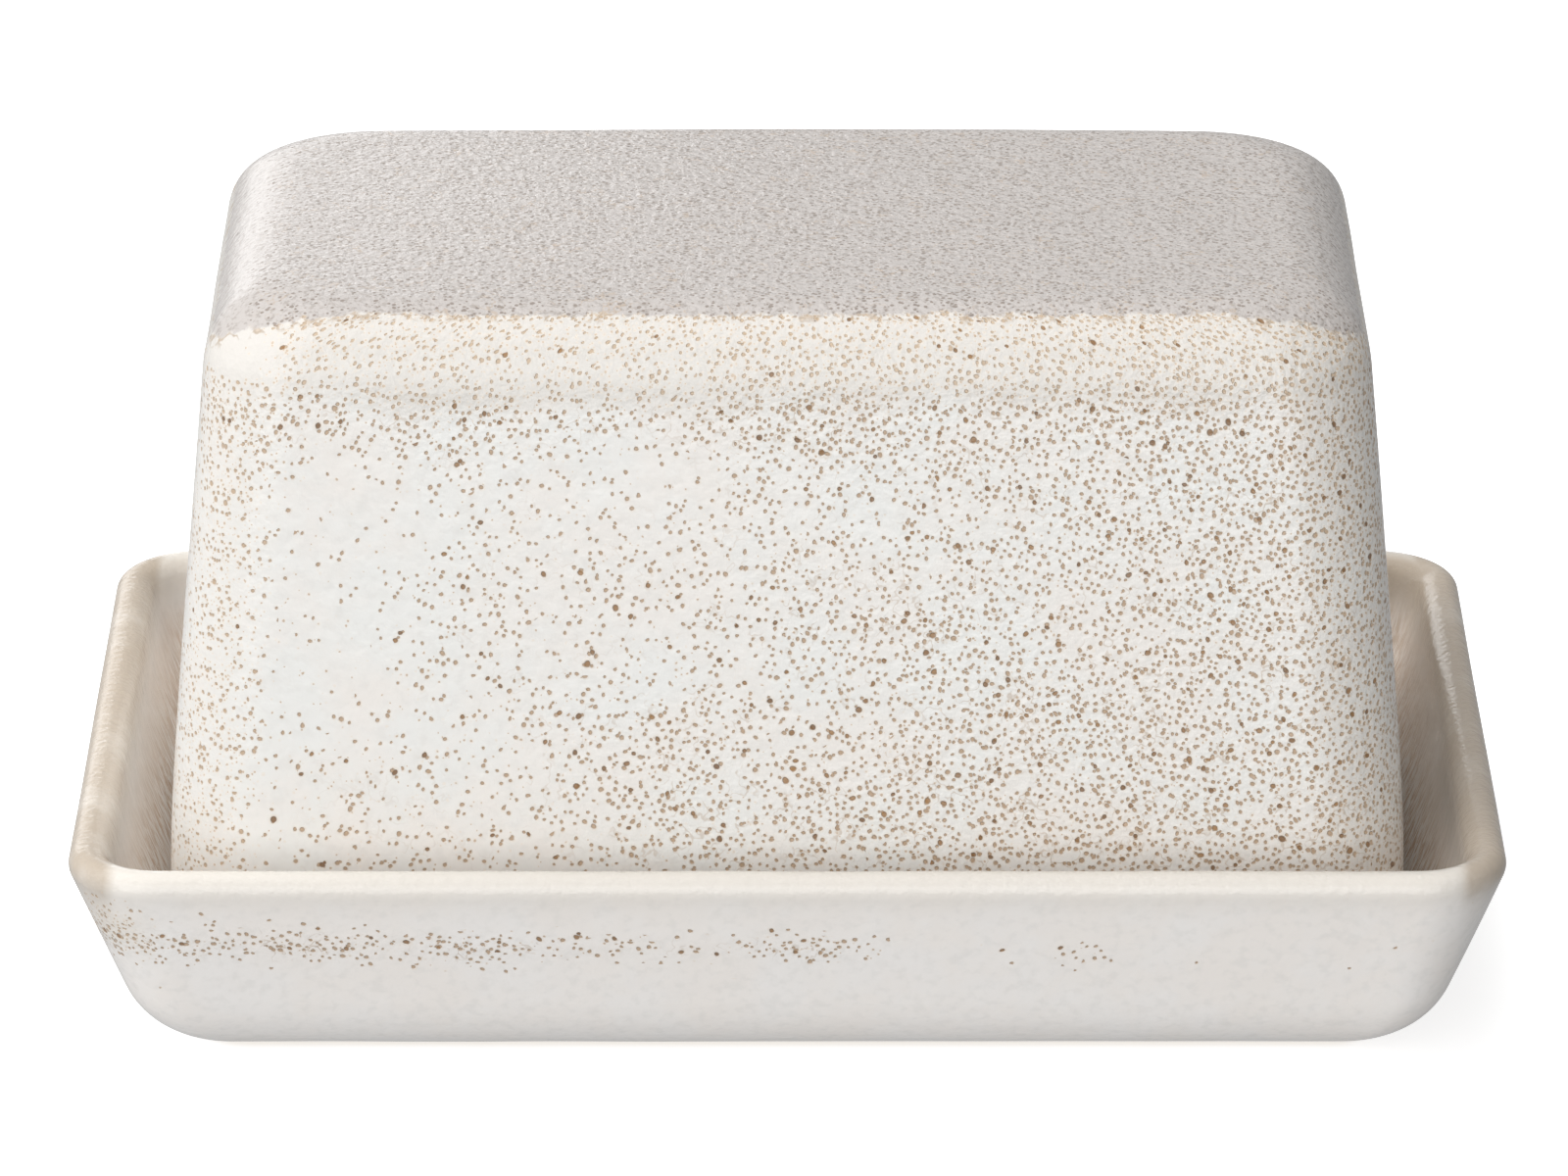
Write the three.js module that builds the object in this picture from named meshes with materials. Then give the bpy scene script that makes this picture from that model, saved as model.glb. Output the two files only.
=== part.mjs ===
// Covered butter dish in glazed stoneware: a shallow tray with flared walls, and a tall
// box-shaped lid that stands loose on the tray's floor and covers the butter.
//
// Millimetres, +Z up, +X along the length. The origin is under the middle of the tray, on
// the plane of its foot. Both pieces are one shell each: a section is carried round a
// rounded rectangle, from a point on the upright axis to another point on it.

import * as THREE from 'three';

// Tray
const TRAY_LENGTH = 170; // over the rim
const TRAY_WIDTH = 112.2; // over the rim
const TRAY_HEIGHT = 28; // foot to top of rim
const TRAY_WALL = 4.2; // thickness of wall and rim
const TRAY_FLARE = THREE.MathUtils.degToRad(21); // lean of the walls out from upright
const TRAY_CORNER_RADIUS = 11; // plan radius of the rim's corners
const TRAY_CORNER_FADE = 16; // inset over which the corner radius falls to 1/e of the rim's
const BASE_RADIUS = 15; // outside, between wall and foot
const INSIDE_RADIUS = 4.5; // inside, between wall and floor
const FLOOR_THICKNESS = 5;
const FOOT_HEIGHT = 2; // recess of the underside above the foot
const FOOT_WIDTH = 5; // flat band of the foot

// Lid
const LID_HEIGHT = 84.4; // lip to the edge of the top
const LID_WALL = 4.4;
const LID_GAP = 4.5; // to the tray's wall, where the lid is widest
const LID_SEAT_GAP = 0.2; // between lip and floor
const LIP_MARGIN = 1; // middle of the lip to the edge of the tray's flat floor
const LID_WIDEST = 12.3; // height above the lip of the widest outline
const LID_LEAN = 0.0895; // slope of the walls inwards, per unit of height
const LID_LEAN_RUN = 9; // height over which the slope grows to that
const LID_CORNER_RADIUS = 12; // upright corners, outside
const LID_EDGE_RADIUS = 10; // round the top, outside
const LID_BOW = 0.65; // bulge of the long sides in plan
const LID_CROWN = 0.6; // rise of the middle of the top above its edge

// Fineness of the facets
const CURVE_STEPS = 4; // along a bowed side, and half of the steps round a corner
const WALL_STEPS = 8;
const EDGE_STEPS = 6;
const RIM_STEPS = 3; // in each quarter
const LIP_STEPS = 3; // in each half
const CAP_STEPS = 3;

const QUARTER_TURN = Math.PI / 2;
const SMALLEST_RADIUS = 1;

// n + 1 numbers from 0 to 1
function fractions(n) {
  return Array.from({ length: n + 1 }, (_, i) => i / n);
}

// Rounded rectangle, anticlockwise. Its long sides are parabolas that bulge by bow.
function outline(halfLength, halfWidth, radius, bow) {
  const cornerX = halfLength - radius;
  const cornerY = halfWidth - radius;
  const corner = (x, y, turn) => new THREE.EllipseCurve(x, y, radius, radius, turn, turn + QUARTER_TURN);
  const longSide = (towards) => new THREE.QuadraticBezierCurve(
    new THREE.Vector2(towards * cornerX, towards * halfWidth),
    new THREE.Vector2(0, towards * (halfWidth + 2 * bow)),
    new THREE.Vector2(-towards * cornerX, towards * halfWidth),
  );
  const shortSide = (towards) => new THREE.LineCurve(
    new THREE.Vector2(towards * halfLength, -towards * cornerY),
    new THREE.Vector2(towards * halfLength, towards * cornerY),
  );
  const edges = [
    corner(cornerX, cornerY, 0),
    longSide(1),
    corner(-cornerX, cornerY, QUARTER_TURN),
    shortSide(-1),
    corner(-cornerX, -cornerY, 2 * QUARTER_TURN),
    longSide(-1),
    corner(cornerX, -cornerY, 3 * QUARTER_TURN),
    shortSide(1),
  ];
  return edges.flatMap((edge) => edge.getPoints(stepsAlong(edge)).slice(1));
}

function stepsAlong(edge) {
  if (edge.isLineCurve) {
    return 1;
  }
  return edge.isEllipseCurve ? 2 * CURVE_STEPS : CURVE_STEPS;
}

// One closed body through rings of equal count, shut by a fan to a pole at each end. It
// faces outwards when the section runs up on the outside.
function shell(firstPole, rings, lastPole) {
  const count = rings[0].length;
  const points = [firstPole, ...rings.flat(), lastPole];
  const last = points.length - 1;
  const at = (ring, i) => 1 + ring * count + (i % count);
  const faces = [];
  for (let i = 0; i < count; i += 1) {
    faces.push(0, at(0, i + 1), at(0, i));
    faces.push(at(rings.length - 1, i), at(rings.length - 1, i + 1), last);
  }
  for (let ring = 0; ring < rings.length - 1; ring += 1) {
    for (let i = 0; i < count; i += 1) {
      faces.push(at(ring, i), at(ring, i + 1), at(ring + 1, i + 1));
      faces.push(at(ring, i), at(ring + 1, i + 1), at(ring + 1, i));
    }
  }
  const geometry = new THREE.BufferGeometry();
  geometry.setAttribute('position', new THREE.Float32BufferAttribute(points.flatMap((p) => p.toArray()), 3));
  geometry.setIndex(faces);
  geometry.computeVertexNormals();
  return geometry;
}

function pole(z) {
  return new THREE.Vector3(0, 0, z);
}

// Where the tray's walls run. An inset is a distance in plan from the rim's outermost line.
const FLOOR_Z = FOOT_HEIGHT + FLOOR_THICKNESS;
const RIM_RADIUS = TRAY_WALL / 2;
const RIM_Z = TRAY_HEIGHT - RIM_RADIUS;
const FILLET_RUN = Math.tan((QUARTER_TURN - TRAY_FLARE) / 2); // length of a fillet's tangent, per radius
const WALL_ACROSS = TRAY_WALL / Math.cos(TRAY_FLARE); // the wall's thickness, measured level

function outerInset(z) {
  const atRim = RIM_RADIUS - RIM_RADIUS / Math.cos(TRAY_FLARE);
  return atRim + (RIM_Z - z) * Math.tan(TRAY_FLARE);
}

function innerInset(z) {
  return outerInset(z) + WALL_ACROSS;
}

const FOOT_INSET = outerInset(0) + BASE_RADIUS * FILLET_RUN;
const FLOOR_INSET = innerInset(FLOOR_Z) + INSIDE_RADIUS * FILLET_RUN;

// depth is how far the line lies behind the outer face, measured level. The corner radius
// fades with the outer face's inset, and shrinks by depth so that the wall keeps its thickness.
function trayRing({ inset, z, depth }) {
  const faded = TRAY_CORNER_RADIUS * Math.exp((depth - inset) / TRAY_CORNER_FADE);
  const radius = Math.max(faded - depth, SMALLEST_RADIUS);
  const plan = outline(TRAY_LENGTH / 2 - inset, TRAY_WIDTH / 2 - inset, radius, 0);
  return plan.map((p) => new THREE.Vector3(p.x, p.y, z));
}

// Flat band of the foot, with the recess inside it
function footLevels() {
  return [
    { inset: FOOT_INSET + FOOT_WIDTH + FOOT_HEIGHT, z: FOOT_HEIGHT, depth: 0 },
    { inset: FOOT_INSET + FOOT_WIDTH, z: 0, depth: 0 },
  ];
}

function baseLevels() {
  return fractions(EDGE_STEPS).map((f) => {
    const turn = THREE.MathUtils.lerp(QUARTER_TURN, TRAY_FLARE, f);
    const inset = FOOT_INSET - BASE_RADIUS * Math.cos(turn);
    return { inset, z: BASE_RADIUS * (1 - Math.sin(turn)), depth: 0 };
  });
}

// Half-round, with levels at its outermost line and at its top
function rimLevels() {
  const rising = fractions(RIM_STEPS).map((f) => f * QUARTER_TURN);
  const falling = fractions(RIM_STEPS).map((f) => QUARTER_TURN + f * (QUARTER_TURN - TRAY_FLARE));
  return [-TRAY_FLARE, ...rising, ...falling.slice(1)].map((turn) => {
    const inset = RIM_RADIUS * (1 - Math.cos(turn));
    return { inset, z: RIM_Z + RIM_RADIUS * Math.sin(turn), depth: inset };
  });
}

function insideLevels() {
  return fractions(EDGE_STEPS).map((f) => {
    const turn = THREE.MathUtils.lerp(TRAY_FLARE, QUARTER_TURN, f);
    const inset = FLOOR_INSET - INSIDE_RADIUS * Math.cos(turn);
    const depth = WALL_ACROSS * Math.cos(turn) / Math.cos(TRAY_FLARE);
    return { inset, z: FLOOR_Z + INSIDE_RADIUS * (1 - Math.sin(turn)), depth };
  });
}

function trayGeometry() {
  const levels = [...footLevels(), ...baseLevels(), ...rimLevels(), ...insideLevels()];
  return shell(pole(FOOT_HEIGHT), levels.map(trayRing), pole(FLOOR_Z));
}

// The lid follows the tray: its widest outline clears the tray's wall by LID_GAP, and its
// lip stands on the flat floor. Insets on the lid are from its widest outline.
const LIP_Z = FLOOR_Z + LID_SEAT_GAP;
const WIDEST_Z = LIP_Z + LID_WIDEST;
const LID_TOP_Z = LIP_Z + LID_HEIGHT;
const WIDEST_INSET = innerInset(WIDEST_Z) + LID_GAP;
const LID_HALF_LENGTH = TRAY_LENGTH / 2 - WIDEST_INSET;
const LID_HALF_WIDTH = TRAY_WIDTH / 2 - WIDEST_INSET;
const HALF_WALL = LID_WALL / 2;
const EDGE_MIDDLE_RADIUS = LID_EDGE_RADIUS - HALF_WALL;
const LEAN_ANGLE = Math.atan(LID_LEAN);
const EDGE_START_Z = LID_TOP_Z - HALF_WALL - EDGE_MIDDLE_RADIUS * (1 - Math.sin(LEAN_ANGLE));

// The section is drawn as the line midway through the wall. Each point has its inset and
// height, and the outward normal there, as out and up.
function middlePoint(inset, z, slope) {
  const length = Math.hypot(1, slope);
  return { inset, z, out: 1 / length, up: slope / length };
}

// Below the widest outline the wall draws in towards the lip, along a parabola.
function lowerMiddle() {
  const drop = LID_WIDEST - HALF_WALL;
  const drawIn = FLOOR_INSET + LIP_MARGIN - WIDEST_INSET - HALF_WALL;
  return fractions(CURVE_STEPS).map((f) => {
    const below = 1 - f;
    const inset = HALF_WALL + drawIn * below ** 2;
    return middlePoint(inset, WIDEST_Z - drop * below, -2 * drawIn * below / drop);
  });
}

function leanInset(rise) {
  return HALF_WALL + LID_LEAN * (rise - LID_LEAN_RUN * (1 - Math.exp(-rise / LID_LEAN_RUN)));
}

// Above it the wall leans in, by a slope that grows from nothing to LID_LEAN.
function upperMiddle() {
  return fractions(WALL_STEPS).slice(1).map((f) => {
    const rise = f * (EDGE_START_Z - WIDEST_Z);
    const slope = LID_LEAN * (1 - Math.exp(-rise / LID_LEAN_RUN));
    return middlePoint(leanInset(rise), WIDEST_Z + rise, slope);
  });
}

// Then it turns over into the top, on an arc that is tangent to both.
function edgeMiddle() {
  const centreInset = leanInset(EDGE_START_Z - WIDEST_Z) + EDGE_MIDDLE_RADIUS * Math.cos(LEAN_ANGLE);
  const centreZ = EDGE_START_Z - EDGE_MIDDLE_RADIUS * Math.sin(LEAN_ANGLE);
  return fractions(EDGE_STEPS).slice(1).map((f) => {
    const turn = THREE.MathUtils.lerp(LEAN_ANGLE, QUARTER_TURN, f);
    const out = Math.cos(turn);
    const up = Math.sin(turn);
    return { inset: centreInset - EDGE_MIDDLE_RADIUS * out, z: centreZ + EDGE_MIDDLE_RADIUS * up, out, up };
  });
}

// side is 1 on the outer face and -1 on the inner one
function faceLevel(middle, side) {
  const inset = middle.inset - side * HALF_WALL * middle.out;
  const radius = side > 0 ? LID_CORNER_RADIUS : LID_CORNER_RADIUS - LID_WALL * middle.out;
  return { inset, z: middle.z + side * HALF_WALL * middle.up, radius };
}

// Half-round between the two faces, at the wall's lower end, with a level at its lowest line
function lipLevels(end) {
  const lowest = -QUARTER_TURN;
  const outerTurn = Math.atan2(end.up, end.out);
  const innerTurn = outerTurn - 2 * QUARTER_TURN;
  const falling = fractions(LIP_STEPS).slice(1).map((f) => THREE.MathUtils.lerp(innerTurn, lowest, f));
  const rising = fractions(LIP_STEPS).slice(1, -1).map((f) => THREE.MathUtils.lerp(lowest, outerTurn, f));
  return [...falling, ...rising].map((turn) => {
    const out = Math.cos(turn);
    const radius = LID_CORNER_RADIUS - HALF_WALL * (end.out - out);
    return { inset: end.inset - HALF_WALL * out, z: end.z + HALF_WALL * Math.sin(turn), radius };
  });
}

function lidRing({ inset, z, radius }) {
  const plan = outline(LID_HALF_LENGTH - inset, LID_HALF_WIDTH - inset, radius, LID_BOW);
  return plan.map((p) => new THREE.Vector3(p.x, p.y, z));
}

// Smaller copies of a ring towards the axis, raised to a crown that is a parabola each way
function capRings({ inset, z, radius }) {
  const halfLength = LID_HALF_LENGTH - inset;
  const halfWidth = LID_HALF_WIDTH - inset;
  return fractions(CAP_STEPS).slice(1, -1).map((f) => {
    const share = 1 - f;
    const plan = outline(share * halfLength, share * halfWidth, share * radius, share * LID_BOW);
    return plan.map((p) => {
      const rise = (1 - (p.x / halfLength) ** 2) * (1 - (p.y / halfWidth) ** 2);
      return new THREE.Vector3(p.x, p.y, z + LID_CROWN * rise);
    });
  });
}

function lidGeometry() {
  const middle = [...lowerMiddle(), ...upperMiddle(), ...edgeMiddle()];
  const inner = middle.map((point) => faceLevel(point, -1)).reverse();
  const outer = middle.map((point) => faceLevel(point, 1));
  const ceiling = inner[0];
  const top = outer[outer.length - 1];
  const levels = [...inner, ...lipLevels(middle[0]), ...outer];
  const rings = [...capRings(ceiling).reverse(), ...levels.map(lidRing), ...capRings(top)];
  return shell(pole(ceiling.z + LID_CROWN), rings, pole(top.z + LID_CROWN));
}

function piece(name, geometry, colour) {
  const material = new THREE.MeshStandardMaterial({ color: colour, roughness: 0.22, metalness: 0 });
  const mesh = new THREE.Mesh(geometry, material);
  mesh.name = name;
  return mesh;
}

const dish = new THREE.Group();
dish.add(piece('tray', trayGeometry(), 0xe6e1d9));
dish.add(piece('lid', lidGeometry(), 0xece8e0));

export default dish;
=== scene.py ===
"""A covered butter dish in speckled stoneware: a flared tray, and a box-shaped lid standing in it.

Lengths are in metres. The dish lies along X, and its front looks along -Y.
"""
import math

import bpy
import numpy as np
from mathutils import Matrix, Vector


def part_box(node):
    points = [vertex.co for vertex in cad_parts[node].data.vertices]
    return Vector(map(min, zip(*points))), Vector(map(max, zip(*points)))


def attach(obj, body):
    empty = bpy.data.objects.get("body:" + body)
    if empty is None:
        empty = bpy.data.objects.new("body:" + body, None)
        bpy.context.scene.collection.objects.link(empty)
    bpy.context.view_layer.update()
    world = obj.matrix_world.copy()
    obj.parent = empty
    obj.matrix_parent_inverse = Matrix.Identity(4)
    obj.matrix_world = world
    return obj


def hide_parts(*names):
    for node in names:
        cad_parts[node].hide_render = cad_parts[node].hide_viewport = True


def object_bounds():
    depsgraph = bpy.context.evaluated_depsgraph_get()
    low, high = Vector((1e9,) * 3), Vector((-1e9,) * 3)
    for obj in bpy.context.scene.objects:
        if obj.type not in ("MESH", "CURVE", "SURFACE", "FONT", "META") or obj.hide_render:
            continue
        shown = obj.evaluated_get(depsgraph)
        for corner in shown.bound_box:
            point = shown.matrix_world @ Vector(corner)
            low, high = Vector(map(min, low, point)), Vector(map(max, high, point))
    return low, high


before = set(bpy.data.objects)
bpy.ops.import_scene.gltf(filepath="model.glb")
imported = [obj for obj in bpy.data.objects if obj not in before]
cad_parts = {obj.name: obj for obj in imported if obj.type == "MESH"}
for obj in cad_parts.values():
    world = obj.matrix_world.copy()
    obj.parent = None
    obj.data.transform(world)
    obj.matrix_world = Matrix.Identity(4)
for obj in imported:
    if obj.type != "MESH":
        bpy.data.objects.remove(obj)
cad_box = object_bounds()
scene = bpy.context.scene


# ---------------------------------------------------------------------------------------
# The view: a long lens in front of the dish, looking down on it by about 21 degrees.
# ---------------------------------------------------------------------------------------
VIEW_PITCH = math.radians(20.67)
VIEW_DISTANCE = 1.218
VIEW_AIM = (-0.0004, 0.0143, 0.0379)
LENS_MM = 226.6
SENSOR_MM = 36.0

lens = bpy.data.cameras.new("view")
lens.lens = LENS_MM
lens.sensor_width = SENSOR_MM
lens.clip_start = 0.01
camera = bpy.data.objects.new("view", lens)
camera.rotation_euler = (math.pi / 2 - VIEW_PITCH, 0.0, 0.0)
camera.location = (
    VIEW_AIM[0],
    VIEW_AIM[1] - VIEW_DISTANCE * math.cos(VIEW_PITCH),
    VIEW_AIM[2] + VIEW_DISTANCE * math.sin(VIEW_PITCH),
)
scene.collection.objects.link(camera)
scene.camera = camera
scene.view_settings.view_transform = "Standard"


# ---------------------------------------------------------------------------------------
# The stage: a white table that glows a little, as a light table does, in a pale room that
# is darker on the right, with soft boxes in front, on the left, above and behind.
# ---------------------------------------------------------------------------------------
TABLE_HALF = 3.0
TABLE_DROP = 0.0001  # below the foot, so that the two don't share a plane
TABLE_GLOW = 0.56
ROOM_LEFT = 0.72
ROOM_RIGHT = 0.25
DISH_MIDDLE = (0.0, 0.0, 0.045)


def linear(red, green, blue):
    """Linear colour from display values of 0 to 255: the sRGB curve, undone."""
    display = np.array([red, green, blue]) / 255.0
    low = display / 12.92
    high = ((display + 0.055) / 1.055) ** 2.4
    return tuple(float(v) for v in np.where(display <= 0.04045, low, high)) + (1.0,)


def add_node(tree, kind, inputs=None, **settings):
    """Adds a node. An input is a number, a vector, a colour or another node's output."""
    made = tree.nodes.new(kind)
    for name, value in settings.items():
        setattr(made, name, value)
    for key, value in (inputs or {}).items():
        if isinstance(value, bpy.types.NodeSocket):
            tree.links.new(value, made.inputs[key])
        else:
            made.inputs[key].default_value = value
    return made


def new_material(name):
    """An empty node material, with its tree and its output's surface socket."""
    made = bpy.data.materials.new(name)
    made.use_nodes = True
    made.node_tree.nodes.clear()
    output = made.node_tree.nodes.new("ShaderNodeOutputMaterial")
    return made, made.node_tree, output.inputs["Surface"]


def light_table():
    """White card that scatters light, with a steady glow added to it."""
    made, tree, surface = new_material("light_table")
    card = add_node(tree, "ShaderNodeBsdfDiffuse", {"Color": linear(240, 240, 240)})
    glow = add_node(tree, "ShaderNodeEmission", {"Strength": TABLE_GLOW})
    both = add_node(tree, "ShaderNodeAddShader", {0: card.outputs[0], 1: glow.outputs[0]})
    tree.links.new(both.outputs[0], surface)
    return made


def soft_box(name, place, size, watts, mirrored=True):
    """A rectangular area light, turned to face the dish. Gloss shows it if it is mirrored."""
    data = bpy.data.lights.new(name, "AREA")
    data.shape = "RECTANGLE"
    data.size, data.size_y = size
    data.energy = watts
    box = bpy.data.objects.new(name, data)
    box.location = place
    towards = np.subtract(DISH_MIDDLE, place)
    flat = math.hypot(towards[0], towards[1])
    box.rotation_euler = (math.atan2(flat, -towards[2]), 0.0, math.atan2(-towards[0], towards[1]))
    box.visible_glossy = mirrored
    scene.collection.objects.link(box)


corners = [(-TABLE_HALF, -TABLE_HALF, 0), (TABLE_HALF, -TABLE_HALF, 0),
           (TABLE_HALF, TABLE_HALF, 0), (-TABLE_HALF, TABLE_HALF, 0)]
table_mesh = bpy.data.meshes.new("table")
table_mesh.from_pydata(corners, [], [(0, 1, 2, 3)])
table_mesh.materials.append(light_table())
table = bpy.data.objects.new("table", table_mesh)
table.location.z = cad_box[0][2] - TABLE_DROP
scene.collection.objects.link(table)
table.visible_diffuse = False
table.visible_glossy = False

room = bpy.data.worlds.new("room")
room.use_nodes = True
room_tree = room.node_tree
way = add_node(room_tree, "ShaderNodeTexCoord").outputs["Generated"]
across = add_node(room_tree, "ShaderNodeSeparateXYZ", {0: way}).outputs["X"]
brightness = add_node(room_tree, "ShaderNodeMapRange", {
    "Value": across, "From Min": -1.0, "From Max": 1.0, "To Min": ROOM_LEFT, "To Max": ROOM_RIGHT,
})
room_light = room_tree.nodes["Background"]
room_light.inputs["Color"].default_value = (1.0, 1.0, 1.0, 1.0)
room_tree.links.new(brightness.outputs["Result"], room_light.inputs["Strength"])
scene.world = room

soft_box("front_box", (-0.30, -1.3, 0.42), size=(2.2, 1.2), watts=13.6)
soft_box("left_box", (-0.55, 0.15, 0.40), size=(0.6, 0.6), watts=0.6, mirrored=False)
soft_box("top_box", (-0.35, 0.15, 1.15), size=(1.0, 1.0), watts=9.8, mirrored=False)
soft_box("back_box", (-0.36, 1.26, 0.25), size=(0.60, 0.42), watts=0.8)


# ---------------------------------------------------------------------------------------
# The tray: pressed from stoneware clay, with an even wall, a half-round rim and a recessed
# underside. It is dipped in glaze all over, and its foot is wiped bare before firing.
# ---------------------------------------------------------------------------------------
TRAY_FLARE = math.radians(21)
TRAY_WALL = 0.0042
TRAY_CORNER_RADIUS = 0.011
TRAY_CORNER_FADE = 0.016
BASE_RADIUS = 0.015
INSIDE_RADIUS = 0.0045
CREST_RADIUS = 0.0030
CREST_LEAN = math.radians(12)
CREST_BLEND = 0.0003
FOOT_HEIGHT = 0.002
FOOT_WIDTH = 0.005
FLOOR_HEIGHT = 0.007
WAVE_DEPTH = 0.00008
QUARTER = math.pi / 2

# Points in each quarter turn, on each long and short side, and along the tray's section.
CORNER_STEPS = 20
LONG_STEPS = 96
SHORT_STEPS = 64
BASE_STEPS = 24
WALL_STEPS = 16
RIM_STEPS = 14
CREST_STEPS = 16
INSIDE_STEPS = 14
FLOOR_STEPS = 12

OUTLINE_CORNERS = np.array([(1, 1), (-1, 1), (-1, -1), (1, -1)], float)


def outline_walk():
    """One turn round a rounded rectangle, anticlockwise from the back of its right end.

    Each point is a corner's centre, slid along a side, plus the corner radius in the
    direction it faces. Returns the slides, from -1 to 1 along X and Y, and the directions.
    """
    slides, facing = [], []
    for k in range(4):
        turn = np.arange(CORNER_STEPS) / CORNER_STEPS
        steps = SHORT_STEPS if k % 2 else LONG_STEPS
        share = np.arange(steps)[:, None] / steps
        here, after = OUTLINE_CORNERS[k], OUTLINE_CORNERS[(k + 1) % 4]
        slides += [np.repeat(here[None], CORNER_STEPS, 0), here * (1 - share) + after * share]
        facing += [(k + turn) * QUARTER, np.full(steps, (k + 1) * QUARTER)]
    slides = np.concatenate(slides)
    return slides[:, 0], slides[:, 1], np.concatenate(facing)


def carried_round(section, walk, bow=0.0):
    """A section carried round a rounded rectangle, as a grid of points (section, walk, 3).

    section has rows of half length, half width, corner radius and height. A long side
    bulges by bow, as a parabola that is nothing at its corners.
    """
    slide_x, slide_y, facing = walk
    length, width, radius, height = (section[:, k, None] for k in range(4))
    x = (length - radius) * slide_x + radius * np.cos(facing)
    y = (width - radius) * slide_y + radius * np.sin(facing)
    y = y + bow * (1 - slide_x ** 2) * np.sin(facing)
    return np.stack([x, y, np.broadcast_to(height, x.shape)], axis=2)


def with_caps(rings, steps):
    """Rings with steps more at each end, which shrink towards the middle at the same height."""
    share = np.linspace(1, 0, steps + 2)[1:-1, None]
    in_plan = np.array([1, 1, 1, 0])
    first_cap = rings[0] * (share[::-1] * in_plan + (1 - in_plan))
    last_cap = rings[-1] * (share * in_plan + (1 - in_plan))
    return np.vstack([first_cap, rings, last_cap])


def grid_normals(grid):
    """Unit normals of a grid: the step round it crossed with the step along the section."""
    around = np.roll(grid, -1, axis=1) - np.roll(grid, 1, axis=1)
    along = np.gradient(grid, axis=0)
    normals = np.cross(around, along)
    return normals / np.maximum(np.linalg.norm(normals, axis=2, keepdims=True), 1e-12)


def ripple(points, wavelength, waves, seed):
    """Smooth noise from -1 to 1: a mean of sine waves in random directions and phases."""
    rng = np.random.default_rng(seed)
    directions = rng.normal(size=(waves, 3))
    directions /= np.linalg.norm(directions, axis=1, keepdims=True)
    pitches = 2 * math.pi / (wavelength * rng.uniform(0.7, 1.6, waves))
    phases = rng.uniform(0, 2 * math.pi, waves)
    angles = points @ (directions * pitches[:, None]).T + phases
    return np.clip(np.sin(angles).sum(axis=-1) / math.sqrt(waves) / 1.4, -1, 1)


def bell(value, middle, width):
    """1 at the middle, and less to both sides: e to minus the square of the way over width."""
    return np.exp(-((value - middle) / width) ** 2)


def grown(value, start, run):
    """0 up to start, then a straight rise to 1 over run."""
    return np.clip((value - start) / run, 0, 1)


def walked_round(grid):
    """The way walked round the longest ring to each of its points, and its whole length."""
    steps = np.linalg.norm(np.roll(grid, -1, axis=1) - grid, axis=2)
    longest = steps[np.argmax(steps.sum(axis=1))]
    return np.cumsum(longest) - longest, longest.sum()


def wrapped(grid):
    """Where each point lies on a drum: a vector that follows the surface without a seam.

    The way round the longest ring becomes an angle on a circle of that length, and the way
    walked along the section becomes the height.
    """
    around, length = walked_round(grid)
    angle = 2 * math.pi * around / length
    radius = length / (2 * math.pi)
    circle = np.stack([radius * np.cos(angle), radius * np.sin(angle)], axis=1)
    walked = np.linalg.norm(np.diff(grid, axis=0), axis=2)
    walked = np.vstack([np.zeros((1, grid.shape[1])), np.cumsum(walked, axis=0)])
    return np.dstack([np.broadcast_to(circle, grid.shape[:2] + (2,)), walked])


def sheet(grid):
    """Where each point lies on a flat sheet laid round the sides: the way round, and the way up.

    The way round is folded over in the middle of two opposite corners, so that it has no
    jump. The way up is walked along the section, as a mean over the ring.
    """
    around, length = walked_round(grid)
    folded = np.abs((around - around[CORNER_STEPS // 2]) % length - length / 2)
    walked = np.linalg.norm(np.diff(grid, axis=0), axis=2).mean(axis=1)
    walked = np.concatenate([[0.0], np.cumsum(walked)])[:, None]
    return np.stack(np.broadcast_arrays(folded, walked, 0.0), axis=2)


def closed_piece(name, grid, first_pole, last_pole, values):
    """A mesh from a grid that closes on itself round each ring, shut by a fan at each end.

    values gives a number or a vector for each point of the grid, stored under its name.
    """
    rings, count = grid.shape[:2]
    points = np.vstack([grid.reshape(-1, 3), first_pole, last_pole])
    here = np.arange(rings * count).reshape(rings, count)
    beside = np.roll(here, -1, axis=1)
    quads = np.stack([here[:-1], beside[:-1], beside[1:], here[1:]], axis=2).reshape(-1, 4)
    first = np.stack([np.full(count, rings * count), beside[0], here[0]], axis=1)
    last = np.stack([here[-1], beside[-1], np.full(count, rings * count + 1)], axis=1)
    mesh = bpy.data.meshes.new(name)
    mesh.from_pydata(points.tolist(), [], quads.tolist() + first.tolist() + last.tolist())
    mesh.polygons.foreach_set("use_smooth", np.ones(len(mesh.polygons), bool))
    for key, value in values.items():
        value = value.reshape(rings, count, -1)
        kind, field = ("FLOAT", "value") if value.shape[2] == 1 else ("FLOAT_VECTOR", "vector")
        at_poles = [value[:1].mean(axis=1), value[-1:].mean(axis=1)]
        flat = np.concatenate([value.reshape(rings * count, -1)] + at_poles)
        stored = mesh.attributes.new(key, kind, "POINT")
        stored.data.foreach_set(field, flat.astype(np.float32).ravel())
    mesh.update()
    made = bpy.data.objects.new(name, mesh)
    scene.collection.objects.link(made)
    return made


TRAY_LOW, TRAY_HIGH = (np.array(corner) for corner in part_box("tray"))
TRAY_HALF_LENGTH, TRAY_HALF_WIDTH = (TRAY_HIGH - TRAY_LOW)[:2] / 2
RIM_RADIUS = TRAY_WALL / 2
RIM_HEIGHT = TRAY_HIGH[2] - RIM_RADIUS
WALL_ACROSS = TRAY_WALL / math.cos(TRAY_FLARE)
FILLET_RUN = math.tan((QUARTER - TRAY_FLARE) / 2)


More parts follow.
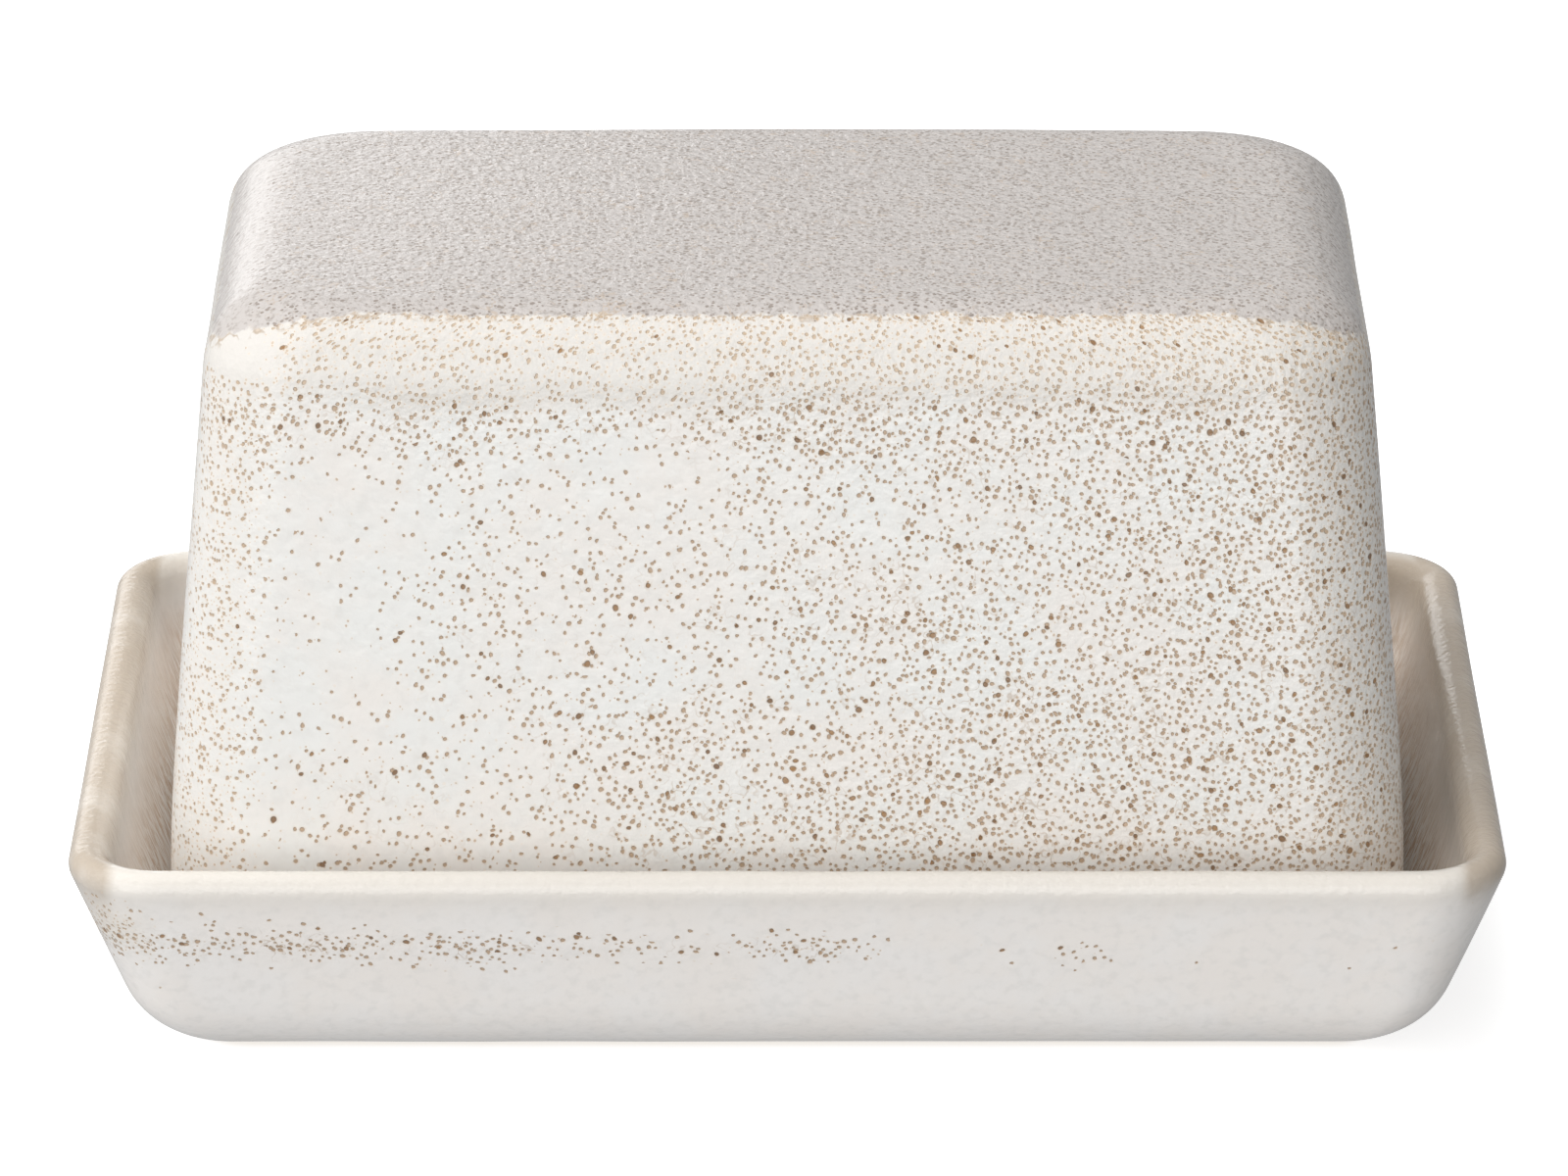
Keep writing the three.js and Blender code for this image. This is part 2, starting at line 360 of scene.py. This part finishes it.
def outer_inset(height):
    """How far the tray's outer wall stands in from the rim's outermost line, at a height."""
    at_rim = RIM_RADIUS - RIM_RADIUS / math.cos(TRAY_FLARE)
    return at_rim + (RIM_HEIGHT - height) * math.tan(TRAY_FLARE)


def inner_inset(height):
    """The same for the inner wall."""
    return outer_inset(height) + WALL_ACROSS


FOOT_INSET = outer_inset(0) + BASE_RADIUS * FILLET_RUN
FLOOR_INSET = inner_inset(FLOOR_HEIGHT) + INSIDE_RADIUS * FILLET_RUN
RECESS_INSET = FOOT_INSET + FOOT_WIDTH + FOOT_HEIGHT


def bend(start, end, steps):
    """Angles from start to end, without the last."""
    return start + (end - start) * np.arange(steps) / steps


def tray_section():
    """Rows of inset, height and depth behind the outer face, from the recess to the floor.

    The rim is round: RIM_RADIUS outside its crest, and the softer CREST_RADIUS inside it.
    That leaves the wall thicker there, by an amount that runs out down the wall as a
    softened ramp: its width times the logarithm of one plus the exponential of the ramp.
    """
    recess = [[RECESS_INSET, FOOT_HEIGHT, 0],
              [RECESS_INSET - 0.8 * FOOT_HEIGHT, 0.25 * FOOT_HEIGHT, 0],
              [FOOT_INSET + 0.85 * FOOT_WIDTH, 0, 0],
              [FOOT_INSET + 0.4 * FOOT_WIDTH, 0, 0]]

    turn = bend(QUARTER, TRAY_FLARE, BASE_STEPS)
    base_inset = FOOT_INSET - BASE_RADIUS * np.cos(turn)
    base = np.stack([base_inset, BASE_RADIUS * (1 - np.sin(turn)), np.zeros(BASE_STEPS)], 1)

    turn = bend(-TRAY_FLARE, QUARTER, RIM_STEPS)
    rim_inset = RIM_RADIUS * (1 - np.cos(turn))
    rim = np.stack([rim_inset, RIM_HEIGHT + RIM_RADIUS * np.sin(turn), rim_inset], 1)

    share = np.arange(WALL_STEPS)[:, None] / WALL_STEPS
    wall_foot = BASE_RADIUS * (1 - math.sin(TRAY_FLARE))
    outer_wall = np.array([outer_inset(wall_foot), wall_foot, 0]) * (1 - share) + rim[0] * share

    turn = bend(QUARTER, 2 * QUARTER - CREST_LEAN, CREST_STEPS)
    crest_inset = RIM_RADIUS - CREST_RADIUS * np.cos(turn)
    crest_height = TRAY_HIGH[2] - CREST_RADIUS * (1 - np.sin(turn))
    crest = np.stack([crest_inset, crest_height, crest_inset], 1)

    turn = bend(TRAY_FLARE, QUARTER, INSIDE_STEPS)
    inside_inset = FLOOR_INSET - INSIDE_RADIUS * np.cos(turn)
    inside_height = FLOOR_HEIGHT + INSIDE_RADIUS * (1 - np.sin(turn))
    inside = np.stack([inside_inset, inside_height, WALL_ACROSS * np.cos(turn) / math.cos(TRAY_FLARE)], 1)

    start = TRAY_HIGH[2] - CREST_RADIUS * (1 - math.sin(CREST_LEAN))
    height = start + (inside_height[0] - start) * share[:, 0]
    extra = RIM_RADIUS + CREST_RADIUS * math.cos(CREST_LEAN) - inner_inset(start)
    ramp_down = extra - (start - height) * (math.tan(TRAY_FLARE) - math.tan(CREST_LEAN))
    thicker = CREST_BLEND * np.log1p(np.exp(ramp_down / CREST_BLEND))
    depth = inner_inset(height) - outer_inset(height) + thicker
    inner_wall = np.stack([inner_inset(height) + thicker, height, depth], 1)

    floor_edge = [[FLOOR_INSET, FLOOR_HEIGHT, 0]]
    return np.vstack([recess, base, outer_wall, rim, crest, inner_wall, inside, floor_edge])


def tray_rings():
    """The section's rings. The corner radius fades with the outer face's inset."""
    inset, height, depth = tray_section().T
    radius = TRAY_CORNER_RADIUS * np.exp((depth - inset) / TRAY_CORNER_FADE) - depth
    rings = np.stack([TRAY_HALF_LENGTH - inset, TRAY_HALF_WIDTH - inset, radius, height], 1)
    return with_caps(rings, FLOOR_STEPS)


outline = outline_walk()
tray_grid = carried_round(tray_rings(), outline)
tray_normal = grid_normals(tray_grid)
tray_wave = WAVE_DEPTH * (ripple(tray_grid, 0.022, 12, 3) - 1) / 2
tray_grid = tray_grid + tray_normal * tray_wave[..., None]

x_at, y_at, z_at = (tray_grid[..., k] for k in range(3))
normal_x, normal_y, normal_z = (tray_normal[..., k] for k in range(3))
below_rim = TRAY_HIGH[2] - z_at
to_the_right = 0.5 + 0.5 * x_at / TRAY_HALF_LENGTH
facing_in = normal_x * x_at + normal_y * y_at < 0
on_floor = (normal_z > 0.5) & (z_at < 0.02)
within = (facing_in & (z_at > FLOOR_HEIGHT - 0.001)) | on_floor

# Cream glaze on the rim, and in speckled patches below the corners of the left end.
corner = np.clip(2.4 * np.abs(normal_x * normal_y), 0, 1)
patch = corner * bell(below_rim, 0.0075, 0.0035) * ~within * (1 - to_the_right)
tray_cream = np.clip(bell(below_rim, 0, 0.0031) + 0.8 * patch, 0, 1)
tray_fine = np.clip(0.9 * patch, 0, 1)

# A wavering band of pinholes two thirds of the way up the outside, which thins to the right.
band = bell(z_at - 0.0009 * ripple(tray_grid, 0.03, 8, 9), 0.0178, 0.0019) * ~within
drift = np.clip(0.45 - x_at / 0.095 + 0.45 * ripple(tray_grid, 0.013, 12, 5), 0, 1)
tray_crowd = np.clip(band * drift, 0, 1)

# Painted shade in tan just inside the crest, more to the right and in its far corner, a little towards
# the floor and on the rim's two ends; and hairy glaze lower down inside.
near_floor = grown(below_rim, 0.0045, 0.008)
turned_in = -(normal_x * np.sign(x_at) + normal_y * np.sign(y_at))
inside_crest_shade = grown(turned_in, 0.25, 0.5) * bell(below_rim, 0, 0.0075)
inside_painted_shade = (0.50 * inside_crest_shade + 0.10 * near_floor + 0.06) * (0.60 + 0.60 * to_the_right)
far_corner_shade = np.clip(y_at / TRAY_HALF_WIDTH, 0, 1) * to_the_right ** 3
rim_end_shade = grown(np.abs(x_at) - TRAY_HALF_LENGTH, -0.0062, 0.0015) * bell(below_rim, 0, 0.0045)
tray_painted_shade = np.clip(np.maximum(within * (inside_painted_shade + 0.45 * far_corner_shade), 0.95 * rim_end_shade), 0, 1)
tray_hairy = within * near_floor

# Bare clay on the flat of the foot.
tray_bare = ((z_at < 0.0006) & (normal_z < -0.9)).astype(float)

tray = closed_piece(
    "tray_glazed", tray_grid, (0, 0, FOOT_HEIGHT), (0, 0, FLOOR_HEIGHT),
    {"cream": tray_cream, "fine": tray_fine, "crowd": tray_crowd, "bare": tray_bare,
     "lift": np.zeros_like(z_at), "painted_shade": tray_painted_shade, "hairy": tray_hairy,
     "wrap": wrapped(tray_grid), "sheet": sheet(tray_grid)},
)

FLAKE_GREY = linear(224, 222, 218)
# Painted shade, greyer where the lid faces up.
UPTURNED_PAINTED_SHADE = linear(213, 208, 202)
GRAIN_GREY = linear(162, 153, 146)
DASH_GREY = linear(152, 142, 134)
# Painted shade in tan, inside the tray and on the rim's ends.
PAINTED_SHADE_TAN = linear(186, 172, 155)
HAIR_CLAY = linear(212, 182, 153)
HAIR_WHITE = linear(255, 251, 246)
WISP_BROWN = linear(186, 164, 140)
EDGE_BROWN = linear(172, 148, 120)
HALO_CREAM = linear(236, 222, 204)
HOLE_TAN = linear(176, 143, 108)
HOLE_TAN_IN_CREAM = linear(196, 170, 140)
HOLE_BROWN = linear(166, 126, 82)
HOLE_DARK_BROWN = linear(126, 92, 58)
BARE_CLAY = linear(205, 187, 160)


def maths(tree, operation, *terms):
    """One arithmetic node, of numbers or sockets."""
    return add_node(tree, "ShaderNodeMath", dict(enumerate(terms)), operation=operation).outputs[0]


def times(tree, first, second):
    """The product of two numbers or sockets."""
    return maths(tree, "MULTIPLY", first, second)


def lay(tree, under, over, share, strength=1.0):
    """The colour over laid on the colour under, by share times strength."""
    if strength != 1.0:
        share = times(tree, share, strength)
    made = add_node(tree, "ShaderNodeMix", {"Factor": share}, data_type="RGBA")
    for key, colour in ((6, under), (7, over)):
        if isinstance(colour, bpy.types.NodeSocket):
            tree.links.new(colour, made.inputs[key])
        else:
            made.inputs[key].default_value = colour
    return made.outputs[2]


def ramp(tree, value, low, high):
    """0 below low, 1 above high, and a smooth step between them."""
    made = add_node(tree, "ShaderNodeMapRange", {"Value": value, "From Min": low, "From Max": high},
                    interpolation_type="SMOOTHSTEP")
    return made.outputs["Result"]


def cloud(tree, place, size, detail=2.0, roughness=0.5):
    """Noise whose features are about size across."""
    made = add_node(tree, "ShaderNodeTexNoise", {
        "Vector": place, "Scale": 1 / size, "Detail": detail, "Roughness": roughness,
    })
    return made.outputs["Fac"]


def mapped(tree, place, **settings):
    """place turned or stretched."""
    return add_node(tree, "ShaderNodeMapping", {"Vector": place, **settings}).outputs[0]


def spread(tree, place, wobble, reach):
    """place moved by noise, by up to about reach each way, so that round shapes turn ragged."""
    noise = add_node(tree, "ShaderNodeTexNoise", {"Vector": place, "Scale": 1 / wobble, "Detail": 1.0})
    centred = add_node(tree, "ShaderNodeVectorMath", {0: noise.outputs["Color"], 1: (0.5, 0.5, 0.5)},
                       operation="SUBTRACT")
    return add_node(tree, "ShaderNodeVectorMath", {0: centred.outputs[0], 1: (2 * reach,) * 3, 2: place},
                    operation="MULTIPLY_ADD").outputs[0]


def attribute(tree, name, output="Fac"):
    """A number or a vector stored on the mesh."""
    return add_node(tree, "ShaderNodeAttribute", attribute_name=name).outputs[output]


def pinholes(tree, place, share, spacing, smallest, largest, space="3D"):
    """Round holes, at most one in each cell of about spacing across, in a solid or on a sheet.

    A cell has a hole if its random number is under share, and the square of another sets
    its radius between smallest and largest. Returns the hole and a wider halo round it,
    from 0 to 1, and a number that differs from hole to hole.
    """
    cells = add_node(tree, "ShaderNodeTexVoronoi", {
        "Vector": place, "Scale": 1 / spacing, "Randomness": 1.0,
    }, voronoi_dimensions=space)
    chance = add_node(tree, "ShaderNodeSeparateColor", {"Color": cells.outputs["Color"]})
    there = maths(tree, "LESS_THAN", chance.outputs[0], share)
    bigger = maths(tree, "POWER", chance.outputs[1], 2.0)
    span = (largest - smallest) / spacing
    radius = maths(tree, "MULTIPLY_ADD", bigger, span, smallest / spacing)
    core = ramp(tree, cells.outputs["Distance"], radius, times(tree, radius, 0.6))
    halo = ramp(tree, cells.outputs["Distance"], times(tree, radius, 1.8), radius)
    return times(tree, core, there), times(tree, halo, there), chance.outputs[2]


def glaze(name, cool, warm, cream, top):
    """Speckled white glaze over tan clay, with its colour, pinholes and ripples.

    It is cool and warm in patches, cream over edges, and of the colour top where it lies
    level, a painted shade like the greyer tint where it faces up. The mesh says where it is cream,
    where fine specks and pinholes crowd, how far it faces up, where tan painted shade lies and where it
    is hairy inside the tray, and where the clay is bare.
    """
    made, tree, surface = new_material(name)
    place = add_node(tree, "ShaderNodeTexCoord").outputs["Object"]
    cream_share, fine_share, crowd, bare, lift, painted_shade, hairy = (
        attribute(tree, key) for key in ("cream", "fine", "crowd", "bare", "lift", "painted_shade", "hairy"))

    # White, with grey flakes.
    patchy = cloud(tree, place, size=0.012, detail=5.0, roughness=0.6)
    flakes = ramp(tree, cloud(tree, place, size=0.0014), 0.45, 0.75)
    colour = lay(tree, cool, warm, ramp(tree, patchy, 0.35, 0.65))
    colour = lay(tree, colour, FLAKE_GREY, flakes, 0.3)

    # Cream over the edges; painted shade, greyer where it faces up and of the colour top inside a ragged
    # line on top, which is grainy too.
    wavering = cloud(tree, place, size=0.0025, detail=4.0, roughness=0.6)
    ragged = maths(tree, "MULTIPLY_ADD", wavering, 0.14, lift)
    on_top = ramp(tree, ragged, 0.955, 0.985)
    below_top = maths(tree, "SUBTRACT", 1.0, on_top)
    colour = lay(tree, colour, cream, times(tree, cream_share, times(tree, below_top, 0.9)))
    colour = lay(tree, colour, UPTURNED_PAINTED_SHADE, ramp(tree, lift, 0.45, 0.95), 0.55)
    colour = lay(tree, colour, top, on_top)
    grain = ramp(tree, cloud(tree, place, size=0.0007, roughness=0.6), 0.50, 0.66)
    colour = lay(tree, colour, GRAIN_GREY, times(tree, grain, on_top), 0.60)

    # Tan painted shade, and white hairs over clay that run down the inside of the wall.
    colour = lay(tree, colour, PAINTED_SHADE_TAN, times(tree, painted_shade, ramp(tree, patchy, 0.0, 0.55)))
    colour = lay(tree, colour, HAIR_CLAY, hairy, 0.85)
    drawn_down = mapped(tree, attribute(tree, "wrap", "Vector"), Scale=(1.0, 1.0, 0.16))
    drawn_down = spread(tree, drawn_down, wobble=0.003, reach=0.0008)
    hairs = ramp(tree, cloud(tree, drawn_down, size=0.00045, roughness=0.6), 0.43, 0.53)
    colour = lay(tree, colour, HAIR_WHITE, times(tree, hairs, hairy))

    # Pinholes of three sizes, the two larger ones on the flat sheet, and dashes on top.
    in_solid = mapped(tree, place, Rotation=(0.5, 0.7, 0.3))
    in_solid = spread(tree, in_solid, wobble=0.0007, reach=0.00016)
    on_sheet = mapped(tree, attribute(tree, "sheet", "Vector"), Rotation=(0, 0, 0.47))
    on_sheet = spread(tree, on_sheet, wobble=0.0030, reach=0.00045)
    on_sheet = spread(tree, on_sheet, wobble=0.0007, reach=0.00010)
    fine_share = maths(tree, "MULTIPLY_ADD", crowd, 0.30, fine_share)
    small_share = maths(tree, "MULTIPLY_ADD", crowd, 0.85, times(tree, fine_share, 0.45))
    large_share = times(tree, crowd, 0.24)
    fine, fine_halo, _ = pinholes(
        tree, in_solid, fine_share, spacing=0.00055, smallest=0.00010, largest=0.00021)
    small, small_halo, _ = pinholes(
        tree, on_sheet, small_share, spacing=0.00094, smallest=0.00021, largest=0.00035, space="2D")
    large, large_halo, large_tone = pinholes(
        tree, on_sheet, large_share, spacing=0.00200, smallest=0.00030, largest=0.00044, space="2D")
    dash, _, _ = pinholes(
        tree, in_solid, small_share, spacing=0.00070, smallest=0.00022, largest=0.00036)

    # Brown wisps among the pinholes, and a broken brown line where the top begins.
    line = maths(tree, "ABSOLUTE", maths(tree, "SUBTRACT", cloud(tree, in_solid, size=0.0024), 0.5))
    here_and_there = ramp(tree, cloud(tree, place, size=0.0042), 0.50, 0.60)
    wisp = times(tree, ramp(tree, line, 0.024, 0.006), here_and_there)
    wisp = times(tree, wisp, ramp(tree, crowd, 0.0, 0.9))
    colour = lay(tree, colour, WISP_BROWN, wisp, 0.5)
    top_edge = times(tree, ramp(tree, ragged, 0.90, 0.96), below_top)
    colour = lay(tree, colour, EDGE_BROWN, times(tree, ramp(tree, line, 0.060, 0.020), top_edge), 0.7)

    halo = maths(tree, "MAXIMUM", large_halo, maths(tree, "MAXIMUM", small_halo, fine_halo))
    colour = lay(tree, colour, HALO_CREAM, times(tree, halo, times(tree, below_top, 0.38)))
    tan = lay(tree, HOLE_TAN, HOLE_TAN_IN_CREAM, cream_share)
    brown = lay(tree, HOLE_BROWN, HOLE_DARK_BROWN, large_tone)
    fine, small, large = (times(tree, hole, below_top) for hole in (fine, small, large))
    colour = lay(tree, colour, DASH_GREY, times(tree, dash, on_top))
    colour = lay(tree, colour, tan, fine, 0.65)
    colour = lay(tree, colour, tan, small, 0.80)
    colour = lay(tree, colour, brown, large, 0.92)
    colour = lay(tree, colour, BARE_CLAY, bare)

    # Pinholes are pits, crowded and cream glaze is lumpy, and all of it ripples gently.
    holes = maths(tree, "MAXIMUM", large, times(tree, small, 0.7))
    lumps = cloud(tree, place, size=0.0010, roughness=0.6)
    lumps = times(tree, lumps, maths(tree, "ADD", crowd, cream_share))
    level = maths(tree, "MULTIPLY_ADD", lumps, 0.8, maths(tree, "SUBTRACT", 1.0, holes))
    pits = add_node(tree, "ShaderNodeBump", {"Strength": 0.9, "Distance": 0.00018, "Height": level})
    ripples = add_node(tree, "ShaderNodeBump", {
        "Strength": 0.55, "Distance": 0.0002, "Normal": pits.outputs[0],
        "Height": cloud(tree, place, size=0.0035, detail=3.0, roughness=0.55),
    })
    gloss = maths(tree, "MULTIPLY_ADD", patchy, 0.10, 0.12)
    shader = add_node(tree, "ShaderNodeBsdfPrincipled", {
        "Base Color": colour, "Normal": ripples.outputs[0],
        "Roughness": maths(tree, "MULTIPLY_ADD", bare, 0.7, gloss),
    })
    tree.links.new(shader.outputs[0], surface)
    return made


tray.data.materials.append(glaze(
    "tray_glaze", cool=linear(246, 243, 240), warm=linear(246, 241, 236),
    cream=linear(224, 218, 209), top=linear(246, 243, 240),
))
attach(tray, "tray")
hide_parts("tray")


# ---------------------------------------------------------------------------------------
# The lid: one cast shell with an even wall, rounded over its top and its upright corners.
# Glaze runs thin and cream over the edges, and gathers pinholes where it lies thick.
# ---------------------------------------------------------------------------------------
LID_WALL = 0.0044
LID_GAP = 0.0045
LID_SEAT_GAP = 0.0002
LIP_MARGIN = 0.001
LID_WIDEST = 0.0123
LID_LEAN = 0.0895
LID_LEAN_RUN = 0.009
LID_CORNER_RADIUS = 0.012
LID_EDGE_RADIUS = 0.010
LID_BOW = 0.00065
LID_CROWN = 0.0006

# Points along the lid's section: below and above its widest line, round the top edge, round
# the lip, and from the edge to the middle of the top.
LOWER_STEPS = 14
UPPER_STEPS = 54
EDGE_STEPS = 22
LIP_STEPS = 14
TOP_STEPS = 22

LIP_HEIGHT = FLOOR_HEIGHT + LID_SEAT_GAP
WIDEST_HEIGHT = LIP_HEIGHT + LID_WIDEST
LID_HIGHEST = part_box("lid")[1][2]
LID_TOP = LID_HIGHEST - LID_CROWN
WIDEST_INSET = inner_inset(WIDEST_HEIGHT) + LID_GAP
LID_HALF_LENGTH = TRAY_HALF_LENGTH - WIDEST_INSET
LID_HALF_WIDTH = TRAY_HALF_WIDTH - WIDEST_INSET
HALF_WALL = LID_WALL / 2
EDGE_MIDDLE = LID_EDGE_RADIUS - HALF_WALL
LEAN_ANGLE = math.atan(LID_LEAN)
EDGE_START = LID_TOP - HALF_WALL - EDGE_MIDDLE * (1 - math.sin(LEAN_ANGLE))


def lean_inset(rise):
    """Inset of the wall's middle above the widest outline: a lean that grows to its full slope."""
    return HALF_WALL + LID_LEAN * (rise - LID_LEAN_RUN * (1 - np.exp(-rise / LID_LEAN_RUN)))


def lid_middle():
    """Rows of inset, height and outward normal along the wall's middle, from lip to top.

    Below the widest line the wall draws in as a parabola. The top edge is an arc.
    """
    below = 1 - np.arange(LOWER_STEPS) / LOWER_STEPS
    drop = LID_WIDEST - HALF_WALL
    draw_in = FLOOR_INSET + LIP_MARGIN - WIDEST_INSET - HALF_WALL
    lower = [HALF_WALL + draw_in * below ** 2, WIDEST_HEIGHT - drop * below, -2 * draw_in * below / drop]
    rise = (EDGE_START - WIDEST_HEIGHT) * np.arange(UPPER_STEPS) / UPPER_STEPS
    upper = [lean_inset(rise), WIDEST_HEIGHT + rise, LID_LEAN * (1 - np.exp(-rise / LID_LEAN_RUN))]
    inset, height, slope = np.hstack([lower, upper])
    out, up = 1 / np.hypot(1, slope), slope / np.hypot(1, slope)
    turn = np.linspace(LEAN_ANGLE, QUARTER, EDGE_STEPS)
    centre = lean_inset(EDGE_START - WIDEST_HEIGHT) + EDGE_MIDDLE * math.cos(LEAN_ANGLE)
    centre_height = EDGE_START - EDGE_MIDDLE * math.sin(LEAN_ANGLE)
    edge = [centre - EDGE_MIDDLE * np.cos(turn), centre_height + EDGE_MIDDLE * np.sin(turn),
            np.cos(turn), np.sin(turn)]
    return np.hstack([[inset, height, out, up], edge]).T


def lid_face(middle, side):
    """Rows of inset, height and corner radius of the outer face (side 1) or inner one (-1)."""
    inset, height, out, up = middle.T
    radius = LID_CORNER_RADIUS - (LID_WALL * out if side < 0 else 0 * out)
    return np.stack([inset - side * HALF_WALL * out, height + side * HALF_WALL * up, radius], 1)


def lip_face(end):
    """The half-round lip below the wall's end, from the inner face to the outer one."""
    outer_turn = math.atan2(end[3], end[2])
    turn = np.linspace(outer_turn - 2 * QUARTER, outer_turn, LIP_STEPS + 2)[1:-1]
    radius = LID_CORNER_RADIUS - HALF_WALL * (end[2] - np.cos(turn))
    return np.stack([end[0] - HALF_WALL * np.cos(turn), end[1] + HALF_WALL * np.sin(turn), radius], 1)


def lid_rings():
    """The lid's rings, from the middle of the ceiling round the lip to the middle of the top."""
    middle = lid_middle()
    faces = [lid_face(middle, -1)[::-1], lip_face(middle[0]), lid_face(middle, 1)]
    inset, height, radius = np.vstack(faces).T
    rings = np.stack([LID_HALF_LENGTH - inset, LID_HALF_WIDTH - inset, radius, height], 1)
    return with_caps(rings, TOP_STEPS)


lid_section = lid_rings()
lid_grid = carried_round(lid_section, outline, LID_BOW)

# The middle of the top rises in a low crown, as one parabola times another.
top_length, top_width = lid_section[-TOP_STEPS - 1, :2]
crown_x = np.clip(1 - (lid_grid[..., 0] / top_length) ** 2, 0, 1)
crown_y = np.clip(1 - (lid_grid[..., 1] / top_width) ** 2, 0, 1)
rows = np.arange(len(lid_section))[:, None]
on_cap = (rows < TOP_STEPS) | (rows >= len(lid_section) - TOP_STEPS)
lid_grid[..., 2] += LID_CROWN * (crown_x * crown_y) * on_cap

lid_normal = grid_normals(lid_grid)
lid_wave = WAVE_DEPTH * (ripple(lid_grid, 0.026, 12, 8) - 1) / 2
lid_grid = lid_grid + lid_normal * lid_wave[..., None]

x_at, z_at = lid_grid[..., 0], lid_grid[..., 2]
normal_x, normal_y, normal_z = (lid_normal[..., k] for k in range(3))
outside = rows >= len(lid_section) // 2
level_top = normal_z > 0.85
right = 0.5 + 0.5 * x_at / LID_HALF_LENGTH
down = grown(LID_TOP - z_at, 0.012, 0.060)

# The fold round the top and the upright corners are cream, with fine specks in them.
corner = np.clip(2.2 * np.abs(normal_x * normal_y), 0, 1)
fold_depth = LID_TOP - z_at + 0.0012 * ripple(lid_grid, 0.014, 12, 4)
fold = np.clip((0.0118 - fold_depth) / 0.0035, 0, 1)
rolled = outside * grown(-normal_x, 0.15, 0.35) * grown(normal_z, 0.15, 0.2)
lid_cream = np.where(outside, np.maximum(fold, 0.55 * corner), 0.20)
lid_fine = np.clip(np.maximum(fold, 0.9 * corner) + 0.05, 0, 1) * (1 - rolled)
lid_fine = np.where(outside, lid_fine, 0.10)

# Pinholes crowd to the right, further down and just under the fold. The top has its own
# even share, and the left end's rolled edge and the ceiling have none.
crowding = 0.80 * right + 0.22 * down + 0.35 * right * down + 0.16 * ripple(lid_grid, 0.024, 14, 6)
under_fold = 0.45 * bell(fold_depth, 0.0125, 0.0035)
lid_crowd = np.clip(0.07 + 0.80 * grown(crowding, 0.22, 0.62) + under_fold, 0, 1)
lid_crowd = lid_crowd * (1 - 0.25 * np.clip(normal_x * 2 - 0.9, 0, 1))
lid_crowd = lid_crowd * np.where((fold > 0.6) & ~level_top, 0.75, 1)
lid_crowd = np.where(outside & level_top, 0.85 + 0.15 * right, lid_crowd) * (1 - rolled)
lid_crowd = np.where(outside, lid_crowd, 0.30 * (np.abs(normal_z) < 0.5))

# lift is how far the outside faces up, more so at the ends, and sets where the painted grey shade lies.
# The lip stands on bare clay.
lid_lift = np.where(outside, normal_z + 0.55 * normal_x ** 2 * (normal_z > 0.1), 0)
lid_bare = ((normal_z < -0.75) & (z_at < LIP_HEIGHT + 0.002)).astype(float)

lid = closed_piece(
    "lid_glazed", lid_grid, (0, 0, lid_section[0, 3] + LID_CROWN), (0, 0, LID_HIGHEST),
    {"cream": lid_cream, "fine": lid_fine, "crowd": lid_crowd, "bare": lid_bare, "lift": lid_lift,
     "painted_shade": np.zeros_like(z_at), "hairy": np.zeros_like(z_at),
     "wrap": wrapped(lid_grid), "sheet": sheet(lid_grid)},
)
lid.data.materials.append(glaze(
    "lid_glaze", cool=linear(239, 239, 236), warm=linear(241, 237, 232),
    # The colour top is painted shade: the lid's level top is a darker grey because less light falls on
    # it.
    cream=linear(222, 218, 212), top=linear(196, 190, 186),
))
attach(lid, "lid")
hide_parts("lid")
